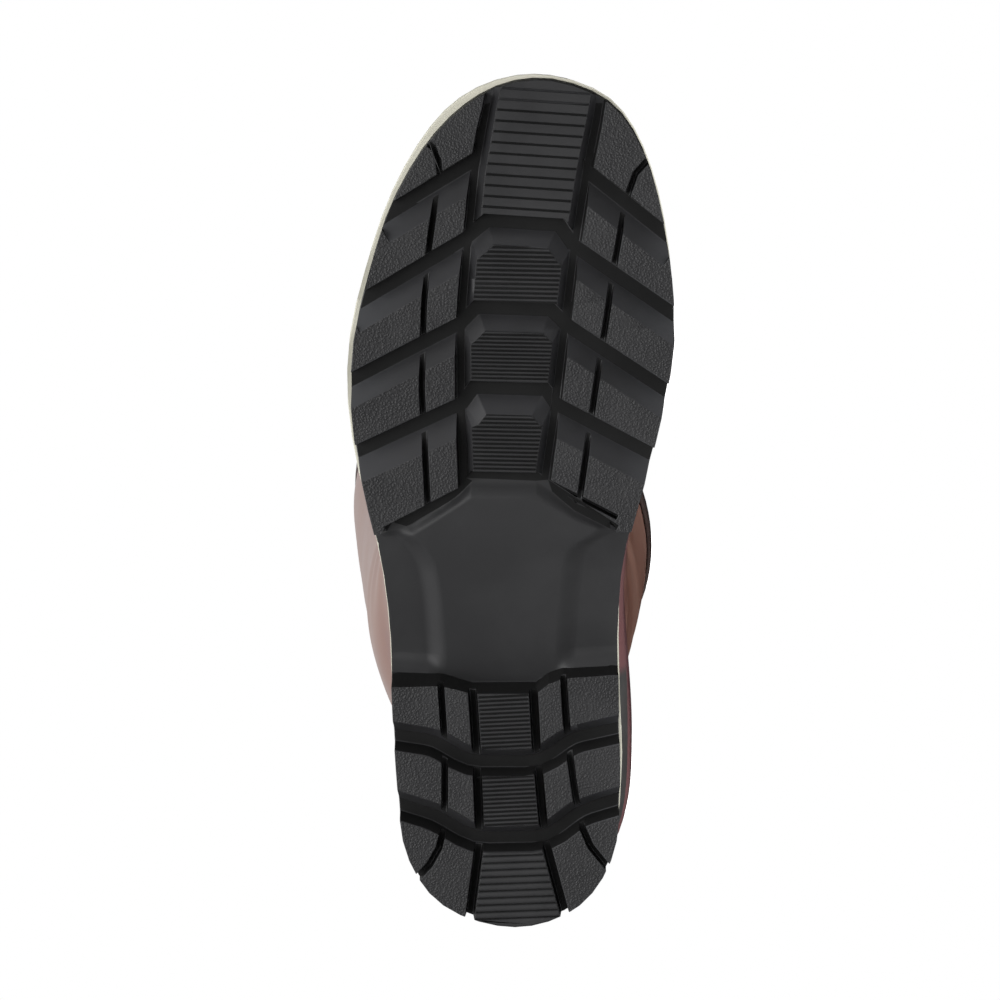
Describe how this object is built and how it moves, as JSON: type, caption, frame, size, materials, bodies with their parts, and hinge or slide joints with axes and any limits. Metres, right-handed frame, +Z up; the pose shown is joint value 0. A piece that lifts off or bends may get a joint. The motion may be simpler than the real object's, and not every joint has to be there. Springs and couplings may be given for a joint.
{
  "type": "rubber boot",
  "caption": "Knee-high rubber boot for the right foot, lying on its medial side: hollow foot and shaft, cream midsole, lugged sole with an arched waist and a raised heel.",
  "frame": {"origin": "centre of the bounding box in plan, on the floor that the boot lies on", "axes": "+X from heel to toe, +Y along the shaft from the sole to the collar, +Z up, from the medial to the lateral side"},
  "size_m": [0.3092, 0.395, 0.1284],
  "materials": {
    "outsole": "matt moulded rubber, pebbled on the lugs",
    "midsole": "matt cream rubber",
    "foxing": "satin rubber",
    "upper": "glossy cured rubber",
    "collar_band": "satin rubber",
    "insole": "felt"
  },
  "bodies": {
    "root": {"outsole": "outsole", "midsole": "midsole", "foxing": "foxing", "upper": "upper", "collar_band": "collar_band", "insole": "insole"}
  },
  "joints": []
}
